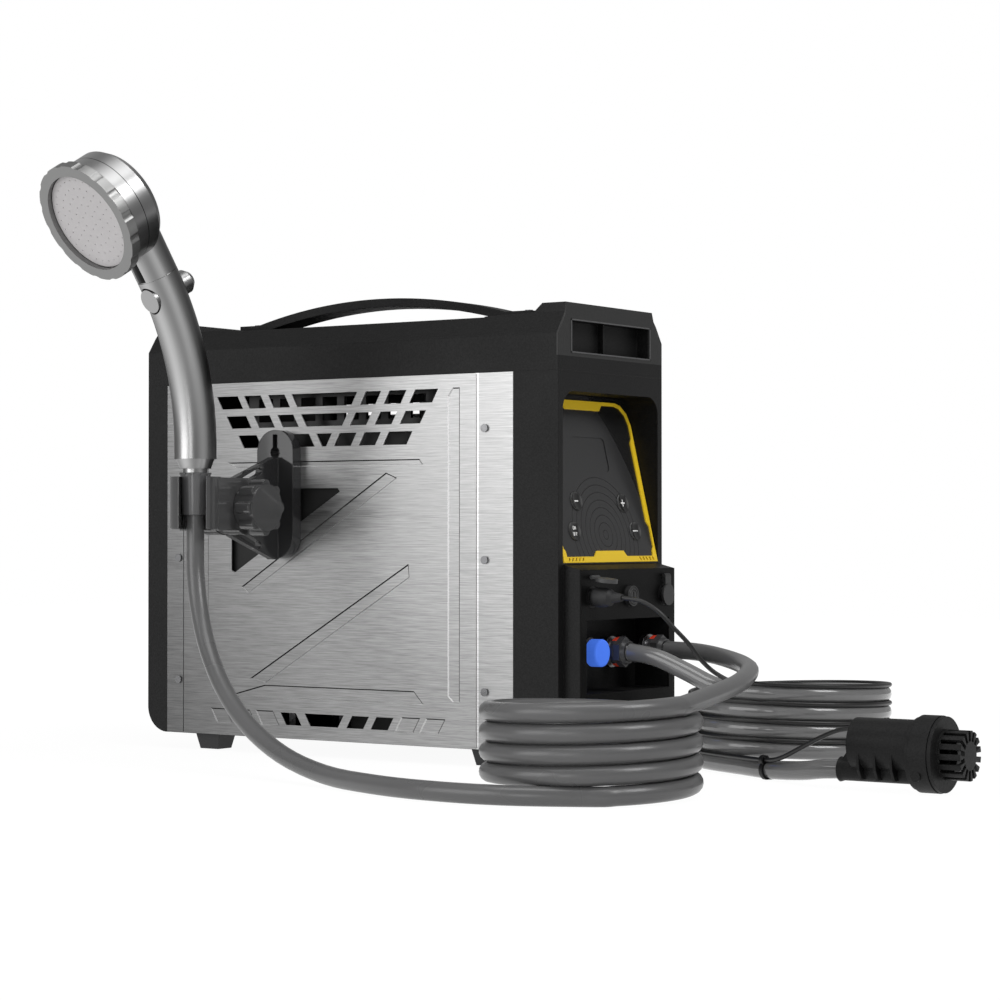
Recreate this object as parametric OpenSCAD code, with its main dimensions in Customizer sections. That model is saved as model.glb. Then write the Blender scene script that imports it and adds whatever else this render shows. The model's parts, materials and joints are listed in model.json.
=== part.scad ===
// Portable propane water heater with shower handset, wall holder, hoses, cable and submersible pump.
// Frame: X along the body (control end +X), -Y the side with the holder, Z up, feet on z = 0.

/* [Heater] */
// thickness of the steel side panels
sheet_t = 1.0; // [0.8:0.1:1.2]
// width of the carrying handle strap
handle_w = 26; // [22:1:30]
// thickness of the carrying handle strap
handle_t = 6.5; // [5.5:0.5:8]
// width of a foot along the body
foot_w = 24; // [20:1:28]
// depth of the pressed beads in the panels
emboss_d = 0.6; // [0.3:0.1:0.6]
// width of a bead's sloping side
bead_slope = 1.2; // [0.8:0.1:1.6]

/* [Controls] */
// diameter of the four push buttons
button_d = 14; // [12:0.5:14.5]
// how far a button stands out of the panel
button_out = 1.2; // [1.1:0.1:2]
// diameter of the drain knob
drain_d = 20; // [18:0.5:20.5]
// diameter of the socket caps
cap_d = 16; // [15:0.25:17]
// radial clearance of moving plastic parts
run_gap = 0.08; // [0.05:0.01:0.1]

/* [Holder] */
// width of the wall plate
plate_w = 35; // [33:1:39]
// thickness of the tongue
tongue_t = 6; // [5:0.5:7]
// gap between tongue and fork
fork_gap = 0.3; // [0.3:0.05:0.5]
// diameter of the clamp knob
clamp_knob_d = 42; // [38:1:44]

/* [Handset] */
// diameter of the handle
grip_d = 31; // [29:0.5:33]
// diameter of the spray head ring
head_d = 90; // [86:1:94]
// thickness of the spray head ring
ring_t = 8; // [6:0.5:9]
// diameter of the push-through stop valve
valve_d = 18; // [16:0.5:19]

/* [Pump] */
// diameter of the pump barrel
barrel_d = 35; // [33:0.5:36]
// diameter of the strainer cage
cage_d = 33; // [31:0.5:35]
// number of slots in the strainer cage
cage_slots = 15; // [12:1:16]

/* [Part shown] */
// one part, or all

/* [Hidden] */
$fn = 48;

// body box
x_rear = -195;
x_rear_in = -175;
x_front_in = 156;
x_front = 195;
x_console = 210;
half_w = 72;
foot_y = half_w - 15;
z_base = 12;
z_seam = 286.5;
z_top = 336;
z_mid = 327.6;
crown_z = 351.5;
crown_r = 469;
shell_t = 2.5;
panel_in = half_w - sheet_t;

// control panel plane
pan_a = 13.06;
pan_z = 147;
rec_w = half_w - 6;
con_w = half_w - 6.7;
alc_w = half_w - 15;
rec_top = 272;
rec_r = 14;
lay_gap = 0.3;
but_r = button_d / 2;
dish_r = 21;

// sockets and fittings
sock_z = 123.7;
lid_z = sock_z + 14.3;
sock_y = [-(half_w - 22), 0, half_w - 22];
fit_z = 83;
cold_y = -10;
hot_y = 36;
gas_y = 13;
drain_y = -34;
screw_x = [-162.5, 131.5];
screw_z = [54, 150, 246];
screw_r = 1.5;

// holder
hx = -57;
plate_y = -half_w - 10;
piv_y = -half_w - 64;
piv_z = 188.5;
clip_y = -half_w - 102;
arm_w = 37.5;
bolt_r = 4;
nut_z = 183;
clip_turn = 33;

// handset: lean plane, handle bend and head
lean_dir = -101;
bend_r = 240;
bend_a = 31.5;
bend_z = 232;
grip_r = grip_d / 2;
head_s = 94.3;
head_z = 391.9;
head_a = 32;
drum_r = 41;
plate_r = 36.5;

// hoses and cable
hose_d = 13;
cable_d = 3.2;
coil1_c = [308, -207];
coil1_r = 66;
coil1_a = [-56, 1450];
coil1_z = [6.5, 61.1];
coil2_c = [313, 55];
coil2_r = 67;
coil2_a = [-95, 1320];
coil2_z = [58, 6.6];
cab_r = 72.1;
cab_up = 6.55;
drop_pts = [[hx, clip_y, nut_z], [hx, clip_y, 165], [-54, clip_y - 3, 140], [-45, clip_y - 9, 113], [-28, -193, 85],
  [-2, -206, 58], [32, -220, 35], [75, -235, 17.5], [125, -252, 8], [180, -274, 6.5],
  [235, -288, 6.5], [292, -286, 6.5]];
rise_pts = [[359, -109, 68.5], [338, -51, 74], [311, -9, 76], [283, 19, 78.5], [259, 33, 81],
  [240, 36, 82.6]];
run_pts = [[217, -10, 83], [238, -10, 80], [262, -9.5, 71], [284, -10, 62], [300, -11.2, 58.6]];
tail_pts = [[314, -21, 6.5], [348, -40, 6.7], [380, -55, 8.8], [400, -62.5, 11.5], [415, -64, 12.5]];
cab_pts = [[235, -50, 123.7], [250, -49, 121.5], [262, -45, 114], [270, -40, 104], [279, -33, 92],
  [284, -27, 82], [289, -20.5, 74], [296, -17.2, 68.5]];
cab_end = [[311, -26.5, 13.2], [345.8, -44.1, 13.6], [362, -51.5, 16], [380, -56.5, 24], [398, -60.5, 32.5],
  [414, -63.5, 38.5], [427, -64, 40]];

// pump
pump_y = -64;
spig_z = 12.5;
bar_z = 30;
ring_z = 25.5;
pump_x = [415, 427, 473, 488, 508];

// ---- helpers ----
module box(x0, x1, y0, y1, z0, z1) translate([x0, y0, z0]) cube([x1 - x0, y1 - y0, z1 - z0]);
module xcyl(x0, x1, y, z, r, r2 = -1)
  translate([x0, y, z]) rotate([0, 90, 0]) cylinder(h = x1 - x0, r1 = r, r2 = r2 < 0 ? r : r2);
module ycyl(y0, y1, x, z, r) translate([x, y1, z]) rotate([90, 0, 0]) cylinder(h = y1 - y0, r = r);
module zcyl(z0, z1, x, y, r, r2 = -1) translate([x, y, z0]) cylinder(h = z1 - z0, r1 = r, r2 = r2 < 0 ? r : r2);
module xprism(x0, x1) translate([x0, 0, 0]) rotate([90, 0, 90]) linear_extrude(x1 - x0) children();
module yprism(y0, y1) translate([0, y1, 0]) rotate([90, 0, 0]) linear_extrude(y1 - y0) children();
module pan() translate([x_front, 0, pan_z]) rotate([0, -pan_a, 0]) children();
module rrect(x0, x1, y0, y1, r) {
  translate([x0 + r, y0]) square([x1 - x0 - 2 * r, y1 - y0]);
  translate([x0, y0 + r]) square([x1 - x0, y1 - y0 - 2 * r]);
  for (x = [x0 + r, x1 - r], y = [y0 + r, y1 - r]) translate([x, y]) circle(r);
}
module arch(hw, z0, z1, r) {
  translate([-hw, z0]) square([2 * hw, z1 - z0 - r]);
  translate([-hw + r, z0]) square([2 * (hw - r), z1 - z0]);
  for (s = [-1, 1]) translate([s * (hw - r), z1 - r]) circle(r);
}
module slot(a, b, r) {
  d = b - a;
  translate(a) rotate(atan2(d[1], d[0])) translate([0, -r]) square([norm(d), 2 * r]);
  translate(a) circle(r);
  translate(b) circle(r);
}
// straight pipe runs with slightly swollen elbows
module pipe(P, r) {
  for (i = [0:len(P) - 2]) {
    d = P[i + 1] - P[i];
    translate(P[i]) rotate([0, acos(d[2] / norm(d)), atan2(d[1], d[0])]) cylinder(h = norm(d), r = r);
  }
  for (i = [1:len(P) - 2]) translate(P[i]) sphere(r * 1.12);
}
function unit(v) = v / norm(v);
function cr(a, b, c, d, t) =
  0.5 * (2 * b + (c - a) * t + (2 * a - 5 * b + 4 * c - d) * t * t + (3 * b - a - 3 * c + d) * t * t * t);
function smooth(P, k) = [for (i = [0:len(P) - 2]) for (j = [0:k - 1])
  cr(P[max(i - 1, 0)], P[i], P[i + 1], P[min(i + 2, len(P) - 1)], j / k), P[len(P) - 1]];
function ring_at(c, r, a, z) = [c[0] + r * cos(a), c[1] + r * sin(a), z];
function coil(c, r, A, Z, n) = [for (i = [0:n])
  ring_at(c, r, A[0] + (A[1] - A[0]) * i / n, Z[0] + (Z[1] - Z[0]) * i / n)];
function dir_at(c, r, A, Z, a) =
  unit([-sin(a), cos(a), (Z[1] - Z[0]) / ((A[1] - A[0]) * PI / 180 * r)]);
function tans(P, t0, t1) = [for (i = [0:len(P) - 1])
  i == 0 ? unit(t0) : i == len(P) - 1 ? unit(t1) : unit(P[i + 1] - P[i - 1])];
function perp(t) = unit(cross(abs(t[2]) > 0.9 ? [1, 0, 0] : [0, 0, 1], t));
function carry(T) = [for (i = 0, n = perp(T[0]); i < len(T);
  i = i + 1, n = i < len(T) ? unit(n - (n * T[i]) * T[i]) : n) n];
module sweep(P, T, N, r, m) {
  V = [for (i = [0:len(P) - 1]) for (j = [0:m - 1])
    P[i] + r * (cos(360 * j / m) * N[i] + sin(360 * j / m) * cross(T[i], N[i]))];
  F = [[for (j = [0:m - 1]) j],
    for (i = [0:len(P) - 2]) for (j = [0:m - 1])
      [i * m + j, (i + 1) * m + j, (i + 1) * m + (j + 1) % m, i * m + (j + 1) % m],
    [for (j = [0:m - 1]) len(P) * m - 1 - j]];
  polyhedron(V, F, convexity = 10);
}
module tube(P, t0, t1, d, m) {
  T = tans(P, t0, t1);
  sweep(P, T, carry(T), d / 2, m);
}
module coil_tube(c, r, A, Z, n, d, m) {
  P = coil(c, r, A, Z, n);
  T = [for (i = [0:n]) dir_at(c, r, A, Z, A[0] + (A[1] - A[0]) * i / n)];
  N = [for (i = [0:n]) unit([P[i][0] - c[0], P[i][1] - c[1], 0])];
  sweep(P, T, N, d / 2, m);
}
c1_lo = ring_at(coil1_c, coil1_r, coil1_a[0], coil1_z[0]);
c1_hi = ring_at(coil1_c, coil1_r, coil1_a[1], coil1_z[1]);
c2_hi = ring_at(coil2_c, coil2_r, coil2_a[0], coil2_z[0]);
c2_lo = ring_at(coil2_c, coil2_r, coil2_a[1], coil2_z[1]);
d1_lo = dir_at(coil1_c, coil1_r, coil1_a, coil1_z, coil1_a[0]);
d1_hi = dir_at(coil1_c, coil1_r, coil1_a, coil1_z, coil1_a[1]);
d2_hi = dir_at(coil2_c, coil2_r, coil2_a, coil2_z, coil2_a[0]);
d2_lo = dir_at(coil2_c, coil2_r, coil2_a, coil2_z, coil2_a[1]);
pitch1 = (coil1_z[1] - coil1_z[0]) * 360 / (coil1_a[1] - coil1_a[0]);
pitch2 = (coil2_z[0] - coil2_z[1]) * 360 / (coil2_a[1] - coil2_a[0]);
echo("least gap between turns, mm", min(pitch1, pitch2) - hose_d * cos(30));

// ---- lid and shells ----
module lid_side() polygon([[x_rear, z_seam], [x_front, z_seam], [x_front, z_top - 11], [x_front - 1.5, z_top],
  [x_front - 21.4, z_top], [x_front - 28.4, z_mid + 1.9], [124, z_mid + 0.6], [124, z_mid], [-106, z_mid],
  [-150, z_top - 3], [x_rear + 23, z_top], [x_rear + 2, z_top], [x_rear, z_top - 11]]);
module top_cover() color("#202124") difference() {
  intersection() {
    yprism(-half_w, half_w) lid_side();
    xprism(x_rear - 1, x_front + 1) polygon([[-half_w, z_seam], [half_w, z_seam], [half_w, z_top - 23],
      [half_w - 11, z_top - 7], [half_w - 12, z_top + 1], [12 - half_w, z_top + 1], [11 - half_w, z_top - 7],
      [-half_w, z_top - 23]]);
  }
  box(x_rear + shell_t, x_front - 16, -half_w + shell_t, half_w - shell_t, z_seam - 1, z_top - 25);
  box(x_rear + 6, x_front - 16, 14 - half_w, half_w - 14, z_seam - 1, z_mid - shell_t);
  difference() {
    box(x_front - 11, x_front + 1, 18 - half_w, half_w - 18, z_top - 35.4, z_top - 13);
    box(x_front - 12, x_front - 6, -2.2, -0.8, z_top - 36, z_top - 12);
  }
  for (x = [-150, 107]) box(x, x + 26, -handle_w / 2 - 0.5, handle_w / 2 + 0.5, z_mid, 340);
  for (x = [-141, 122]) zcyl(z_mid - 12, z_mid + 1, x, 0, screw_r + 0.1);
}
module rear_side(g) {
  translate([x_rear + g, z_base + 20]) square([20 - g, z_seam - z_base - 20 - g]);
  intersection() {
    translate([x_rear_in, z_base + 20]) circle(20 - g);
    translate([x_rear, z_base]) square([20, 21]);
  }
}
module rear_shell() color("#1d1e20") difference() {
  yprism(-half_w, half_w) rear_side(0);
  yprism(-half_w + shell_t, half_w - shell_t) rear_side(shell_t);
}
module pan_zone(x0, x1) pan() translate([x0, -100, -40]) cube([x1 - x0, 200, 260]);
module front_shell() color("#1d1e20") difference() {
  union() {
    box(x_front_in, x_front, -half_w, half_w, z_base, z_seam);
    yprism(-con_w, con_w) polygon([[x_front - 1, z_base], [x_console, z_base], [x_console, pan_z - 3.7],
      [x_front, pan_z], [x_front - 1, pan_z]]);
  }
  difference() {
    union() {
      box(x_front_in - 1, x_front - shell_t, -half_w + shell_t, half_w - shell_t, z_base + shell_t, 141);
      box(x_front_in, x_console - shell_t, shell_t - con_w, con_w - shell_t, z_base + shell_t, 141);
    }
    box(178, x_console, -alc_w - shell_t - 1, alc_w + shell_t, 54.5 - shell_t, 107 + shell_t);
  }
  box(x_front_in - 1, x_front - shell_t, -half_w + shell_t, half_w - shell_t, rec_top + shell_t, z_seam - shell_t);
  intersection() {
    xprism(150, 220) arch(rec_w, pan_z, rec_top, rec_r);
    pan_zone(-3 - 0.02, 90);
  }
  xprism(x_front_in - 1, 200) arch(rec_w - 6, pan_z + 7, rec_top - 8, 10);
  box(180, x_console + 1, -alc_w - 1, alc_w, 54.5, 107);
  for (y = sock_y) xcyl(200, 211, y, sock_z, 8.2);
  for (y = [cold_y, hot_y]) xcyl(176, 182, y, fit_z, 7.1);
  xcyl(176, 182, gas_y, fit_z, 6.1);
  xcyl(176, 182, drain_y, fit_z, 4.1);
}

// ---- steel panels ----
rows = [
  [266, 276, [[-123.5, -97.1], [-96.1, -74], [-72, -50.3]], [-48.8, 14.4], [[17.2, 37], [39.4, 60.6], [63, 89.5]]],
  [250.8, 260.4, [[-113.6, -88.5], [-86.2, -65.1], [-62.7, -41.7]], [-39.5, 5.6], [[7.7, 28.5], [31, 52.1], [54.3, 78.5]]],
  [235.4, 245.3, [[-101.6, -78], [-75, -52], [-48.3, -26.3]], [-24.5, -9.7], [[-7.5, 13.9], [16.1, 36.8], [38.8, 66.1]]],
  [22.5, 32, [[-59.4, -38.8]], [-35.7, 1.8], [[4.4, 25.8], [27.3, 48.7]]]];
blanks = [22.5, 32, [[-128.3, -109], [-105.9, -85.2], [-83, -62]], [[50.9, 71.6], [73.5, 94.6]]];
sl = 5.5;
module lean_l(a, b, z0, z1) polygon([[a + sl, z0], [b, z0], [b - sl, z1], [a, z1]]);
module lean_r(a, b, z0, z1) polygon([[a, z0], [b - sl, z0], [b, z1], [a + sl, z1]]);
module vents2d() for (w = rows) {
  for (v = w[2]) lean_l(v[0], v[1], w[0], w[1]);
  for (v = w[4]) lean_r(v[0], v[1], w[0], w[1]);
  polygon([[w[3][0] + sl, w[0]], [w[3][1] - sl, w[0]], [w[3][1], w[1]], [w[3][0], w[1]]]);
}
beads = [
  [[41.6, 213.8], [50, 210.5], [-92, 123.6], [-97, 127.8]],
  [[-109, 223.6], [72, 223.6], [74, 221], [-104, 221]],
  [[61.6, 145.3], [62.4, 137.1], [-74.8, 54.8], [-87.3, 57.5]],
  [[-75, 51.7], [67, 51.7], [74.5, 43.7], [-106, 43.7]],
  [[99, 50], [103, 46.5], [108, 46.5], [108, 275.5], [103, 275.5], [99, 270]],
  [[-142, 86], [-138, 86], [-133, 90], [-133, 270], [-138, 275.5], [-142, 275.5]]];
blank_quads = [for (s = [2, 3]) for (v = blanks[s]) s == 2 ?
  [[v[0] + sl, blanks[0]], [v[1], blanks[0]], [v[1] - sl, blanks[1]], [v[0], blanks[1]]] :
  [[v[0], blanks[0]], [v[1] - sl, blanks[0]], [v[1], blanks[1]], [v[0] + sl, blanks[1]]]];
// a pressed bead: flat floor, sides sloping out to the sheet's face
module bead(P) hull() {
  yprism(-half_w - 0.3, -half_w - 0.2) offset(delta = bead_slope) polygon(P);
  yprism(emboss_d - half_w - 0.1, emboss_d - half_w) polygon(P);
}
module side_panel() difference() {
  box(x_rear_in + 0.2, x_front_in, -half_w, -panel_in, z_base + 0.3, z_seam - 0.2);
  yprism(-half_w - 1, -panel_in + 1) vents2d();
  yprism(-half_w - 1, -panel_in + 1) polygon([[-108.5, 204], [-4, 203.6], [-2, 201], [-105, 139], [-108.5, 140.5]]);
  for (P = concat(beads, blank_quads)) bead(P);
  for (x = [-157.8, 123.9]) box(x - 0.4, x + 0.4, -half_w - 1, emboss_d - half_w, z_base + 1, z_seam - 1);
  for (x = screw_x, z = screw_z) ycyl(-half_w - 1, -panel_in + 1, x, z, screw_r + 0.2);
}
module panel_near() color("#b9bcc0") side_panel();
module panel_far() color("#b9bcc0") mirror([0, 1, 0]) side_panel();
module chassis() color("#17181a") difference() {
  union() {
    box(x_rear_in, x_front_in, -panel_in, panel_in, z_base, z_base + 2);
    for (x = screw_x, s = [-1, 1])
      box(x - 5.5, x + 5.5, s < 0 ? -panel_in : half_w - 12, s < 0 ? 12 - half_w : panel_in, z_base + 1, z_seam);
    for (s = [-1, 1]) box(-158, 2, s * (half_w - 5) - 0.75, s * (half_w - 5) + 0.75, 134, 210);
  }
  for (x = screw_x, z = screw_z) {
    ycyl(-panel_in - 1, 11 - half_w, x, z, screw_r);
    ycyl(half_w - 11, panel_in + 1, x, z, screw_r);
  }
}
module feet() color("#141416") for (x = [-137, 128], s = [-1, 1]) intersection() {
  yprism(-80, 80) polygon([[x - foot_w / 2 + 3, 0], [x + foot_w / 2 - 3, 0], [x + foot_w / 2, z_base], [x - foot_w / 2, z_base]]);
  xprism(-200, 200) polygon([[s * foot_y - 8, 0], [s * foot_y + 8, 0], [s * foot_y + 10, z_base], [s * foot_y - 10, z_base]]);
}
module carry_handle() color("#222326") difference() {
  yprism(-handle_w / 2, handle_w / 2) {
    intersection() {
      difference() {
        translate([-10.5, crown_z - crown_r]) circle(crown_r, $fn = 180);
        translate([-10.5, crown_z - crown_r]) circle(crown_r - handle_t, $fn = 180);
      }
      translate([-132, z_mid]) square([243, 40]);
    }
    translate([-149.5, z_mid]) square([20, 8.4]);
    translate([107.5, z_mid]) square([25, 8.4]);
  }
  for (x = [-141, 122]) zcyl(z_mid - 1, z_mid + 12, x, 0, screw_r + 0.1);
}
module screw_one(r) {
  cylinder(h = 1.5, r = 3);
  translate([0, 0, -7]) cylinder(h = 8, r = r);
}
module screws() color("#a8aaad") {
  for (x = screw_x, z = screw_z) {
    translate([x, -half_w, z]) rotate([90, 0, 0]) screw_one(screw_r);
    translate([x, half_w, z]) rotate([-90, 0, 0]) screw_one(screw_r);
  }
  for (x = [-141, 122]) translate([x, 0, z_mid + 8.4]) {
    cylinder(h = 1.5, r = 3);
    translate([0, 0, -15]) cylinder(h = 16, r = screw_r);
  }
}

// ---- control panel ----
function pw(z) = (z - pan_z) / cos(pan_a);
but_at = [[-32, 47.2], [32, 46.2], [-42, 24.8], [42, 24.8]];
module control_panel() color("#26272a") difference() {
  intersection() {
    xprism(150, 220) arch(rec_w - lay_gap, pan_z + lay_gap, rec_top - lay_gap, rec_r - lay_gap);
    pan_zone(-3, 0);
  }
  pan() for (b = but_at) xcyl(-5, 5, b[0], b[1], but_r + run_gap);
  pan() xprism(-0.6, 1) rrect(-23, 23, 70, 96, 4);
}
// trim frame: thin at the top corners, thick along the sides, a tab above and a hatched foot
module trim_half() polygon([[0, 116.8], [rec_w - 42.7, 116.8], [rec_w - 38.2, 121.3], [rec_w - 19.2, 121.3],
  [rec_w - 12.6, 119.6], [rec_w - 6.6, 114.6], [rec_w - 3.7, 107], [rec_w - 3.7, 97], [rec_w - 6.5, 93],
  [rec_w - 6.5, 32], [rec_w - 3.4, 28], [rec_w - 3.4, 12], [rec_w - 5.6, 9.8], [rec_w - 6.4, 5.5],
  [rec_w - 43.5, 5.5], [rec_w - 47.5, 9.7], [0, 9.7], [0, 1.2], [rec_w - 1.2, 1.2], [rec_w - 1.2, 107],
  [rec_w - 4.4, 116], [rec_w - 11.4, 122], [rec_w - 18.6, 123.8], [0, 123.8]]);
module control_bezel() color("#d9a520") pan() xprism(0, 1) difference() {
  union() {
    trim_half();
    mirror([1, 0]) trim_half();
  }
  for (s = [-1, 1], i = [0:4]) translate([s * (rec_w - 25.5 + i * 4.6), 2.2])
    polygon([[0, 0], [2.2, 0], [2.2 - s * 1.6, 2.7], [-s * 1.6, 2.7]]);
}
module button(i) pan() difference() {
  union() {
    xcyl(-4.5, button_out, but_at[i][0], but_at[i][1], but_r);
    xcyl(-5.4, -3.4, but_at[i][0], but_at[i][1], but_r + 1.2);
  }
  translate([button_out - 1.1 + dish_r, but_at[i][0], but_at[i][1]]) sphere(dish_r);
}
module button_minus() color("#3a3b3f") button(0);
module button_plus() color("#3a3b3f") button(1);
module button_power() color("#3a3b3f") button(2);
module button_mode() color("#3a3b3f") button(3);
module control_board() color("#1f5a3a") pan() {
  xprism(-9, -7.4) rrect(-54, 54, 12, 92, 3);
  for (y = [-50, 50], w = [16, 88]) xcyl(-8, -3, y, w, 2.5);
  for (b = but_at) xcyl(-8, -6.8, b[0], b[1], 2);
}

// ---- sockets ----
module socket_row() color("#131315") difference() {
  union() {
    box(203.5, 207.5, 11 - half_w, half_w - 11, 113, 135);
    for (y = sock_y) xcyl(204, x_console, y, sock_z, 8);
    for (y = sock_y) xcyl(204, x_console + 2, y, sock_z, 6);
  }
  xcyl(204.5, 213, sock_y[0], sock_z, 4.5);
  xcyl(204.5, 213, sock_y[2], sock_z, 3);
}
module pump_flap() color("#18181a") {
  translate([x_console + 2, sock_y[0], lid_z]) rotate([0, 7, 0]) {
    zcyl(-2.4, 0.6, 10, 0, cap_d / 2);
    box(0.2, 6, -4.5, 4.5, -1.1, 0.4);
    ycyl(-5, 5, 0, 0, 1.5);
  }
}
module fuse_cap() color("#18181a") difference() {
  xcyl(x_console + 0.3, x_console + 4, sock_y[1], sock_z, cap_d / 2 - 0.5);
  xcyl(x_console, x_console + 2.3, sock_y[1], sock_z, 6 + run_gap);
  for (r = [6.6, 4.6]) difference() {
    xcyl(x_console + 3.5, x_console + 5, sock_y[1], sock_z, r);
    xcyl(x_console + 3, x_console + 6, sock_y[1], sock_z, r - 0.7);
  }
  box(x_console + 3, x_console + 5, -0.6, 0.6, sock_z - 3, sock_z + 3);
}
module dc_flap() color("#18181a") {
  xcyl(x_console + 2.4, x_console + 4.4, sock_y[2], sock_z, cap_d / 2);
  box(x_console + 2.4, x_console + 3.8, sock_y[2] - 4, sock_y[2] + 4, sock_z + 5, lid_z);
  ycyl(sock_y[2] - 4, sock_y[2] + 4, x_console + 2, lid_z, 1.5);
}

// ---- fittings on the alcove wall ----
module drain_knob() color("#2456c8") {
  xcyl(172, 200, drain_y, fit_z, 4);
  translate([199, drain_y, fit_z]) rotate([0, 90, 0]) rotate_extrude() polygon([[0, 0], [drain_d / 2 - 0.8, 0],
    [drain_d / 2, 0.8], [drain_d / 2, 8.6], [drain_d / 2 - 0.4, 9.6], [drain_d / 2 - 1.6, 10.2], [0, 10.6]]);
}
module fitting(y, x0) {
  xcyl(162, x0 + 4, y, fit_z, 7);
  xcyl(180, 183, y, fit_z, 10);
  xcyl(x0, x0 + 4, y, fit_z, 11.4);
  xcyl(x0 + 4, x0 + 12, y, fit_z, 8.2);
  xcyl(x0 + 11, x0 + 19, y, fit_z, 6.5);
}
module cold_fitting() color("#b7b9bc") fitting(cold_y, 198);
module hot_fitting() color("#b7b9bc") fitting(hot_y, 202);
module sleeve(y, x0, x1) difference() {
  union() {
    xcyl(x0 + 7.5, x0 + 10, y, fit_z, 10.6);
    xcyl(x0 + 10, x0 + 15.5, y, fit_z, 11.2, $fn = 6);
    xcyl(x0 + 15.5, x1, y, fit_z, 9.2, 8.2);
  }
  xcyl(x0 + 7, x0 + 15 + 0.5, y, fit_z, 8.2 + run_gap);
  xcyl(x0 + 15, x1 + 1, y, fit_z, 7);
}
module cold_sleeve() color("#b3302c") sleeve(cold_y, 198, 216.5);
module hot_sleeve() color("#b3302c") sleeve(hot_y, 202, 220.5);
module gas_inlet() color("#c49a45") difference() {
  union() {
    xcyl(150, 181, gas_y, fit_z, 6);
    xcyl(174, 178, gas_y, fit_z, 9.5);
    xcyl(180, 182, gas_y, fit_z, 9.5);
    xcyl(181, 198, gas_y, fit_z, 7);
  }
  xcyl(160, 179, gas_y, fit_z, 3);
  xcyl(178, 199, gas_y, fit_z, 4.5);
}

// ---- inside ----
module gas_valve() color("#9b9ea2") {
  box(104, 150, 2, 27, 70, 100);
  box(110, 144, 8, 20, z_base + 2, 71);
  zcyl(99, 118, 120, 14, 9);
}
module flow_sensor() color("#2b2c30") {
  xcyl(140, 162, cold_y, fit_z, 9);
  box(145, 157, cold_y - 5, cold_y + 5, fit_z + 6, fit_z + 14);
}
module burner() color("#8d8f93") difference() {
  union() {
    box(-90, 60, -38, 38, 112, 152);
    for (x = [-88, 50], y = [-36, 28]) box(x, x + 8, y, y + 8, z_base + 2, 113);
  }
  for (i = [0:13]) box(-83 + i * 10, -79 + i * 10, -32, 32, 118, 153);
  xcyl(54, 61, -27, 133, 2.5 + run_gap);
}
module heat_exchanger() color("#a9abaf") {
  difference() {
    box(-100, 70, -50, 50, 152, 248);
    box(-97, 67, -47, 47, 151, 190);
    for (i = [0:20]) box(-93 + i * 8, -88 + i * 8, -51, 51, 196, 203);
    for (i = [0:20]) box(-93 + i * 8, -88 + i * 8, -47, 47, 240, 249);
  }
  for (y = [-30, 0, 30]) for (s = [0, 1]) xcyl(s ? 69 : -110, s ? 80 : -99, y, 222, 6);
}
module exhaust_hood() color("#9fa1a5") difference() {
  box(-105, 75, -55, 55, 248, 284);
  box(-102, 72, -52, 52, 250, 281);
  box(-92, 62, -45, 45, 247, 251);
  for (i = [0:7]) box(-95 + i * 21, -81 + i * 21, -56, 56, 256, 274);
}
module blower_housing() color("#4a4c50") difference() {
  union() {
    ycyl(-22, 22, -10, 58, 38);
    box(-30, 10, -22, 22, z_base + 2, 40);
    box(4, 28, -22, 22, 58, 112);
  }
  ycyl(-19, 19, -10, 58, 34);
  box(7, 24, -19, 19, 56, 113);
  ycyl(-23, -18, -10, 58, 20);
  ycyl(18, 23, -10, 58, 3 + run_gap);
}
module blower_wheel() color("#6d6f73") {
  ycyl(12, 14, -10, 58, 30);
  ycyl(-10, 13, -10, 58, 8);
  ycyl(13, 30, -10, 58, 3);
  translate([-10, 0, 58]) for (a = [0:30:330]) rotate([0, a, 0]) box(24, 29.5, -14, 12.5, -0.8, 0.8);
}
module igniter() color("#1b1c1e") {
  box(60, 78, -36, -18, 120, 146);
  xcyl(56, 61, -27, 133, 2.5);
}
module water_pipes() color("#c07a4a") {
  pipe([[140, cold_y, fit_z], [90, cold_y, fit_z], [90, cold_y, 206], [70, cold_y, 206]], 5.5);
  pipe([[70, hot_y, 206], [92, hot_y, 206], [92, hot_y, fit_z], [162, hot_y, fit_z]], 5.5);
}
module gas_pipe() color("#c49a45") pipe([[104, 14, 92], [76, 14, 92], [76, 14, 130], [60, 14, 130]], 4.5);

// ---- holder ----
module holder_bracket() color("#1b1c1e") difference() {
  union() {
    yprism(plate_y, -half_w) rrect(hx - plate_w / 2, hx + plate_w / 2, piv_z - 38.5, piv_z + 60, plate_w / 2 - 0.5);
    xprism(hx - tongue_t / 2, hx + tongue_t / 2) {
      polygon([[plate_y + 1, piv_z - 39], [plate_y - 5, piv_z - 39], [plate_y - 7, piv_z - 38], [piv_y, piv_z - 21],
        [piv_y, piv_z + 21], [plate_y - 7, piv_z + 38], [plate_y - 5, piv_z + 39], [plate_y + 1, piv_z + 39]]);
      translate([piv_y, piv_z]) circle(20);
    }
  }
  yprism(plate_y - 1, -half_w + 1) {
    translate([hx, piv_z + 42.5]) circle(4.5);
    translate([hx - 2.2, piv_z + 42.5]) square([4.4, 14]);
  }
  xprism(hx - 5, hx + 5) {
    slot([piv_y + 9, piv_z + 18.5], [piv_y + 32, piv_z + 28], 2.6);
    slot([piv_y + 9, piv_z - 18.5], [piv_y + 32, piv_z - 28], 2.6);
  }
  xcyl(hx - 5, hx + 5, piv_y, piv_z, bolt_r + 0.3);
}
arm_z = [170.5, 211.5];
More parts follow.
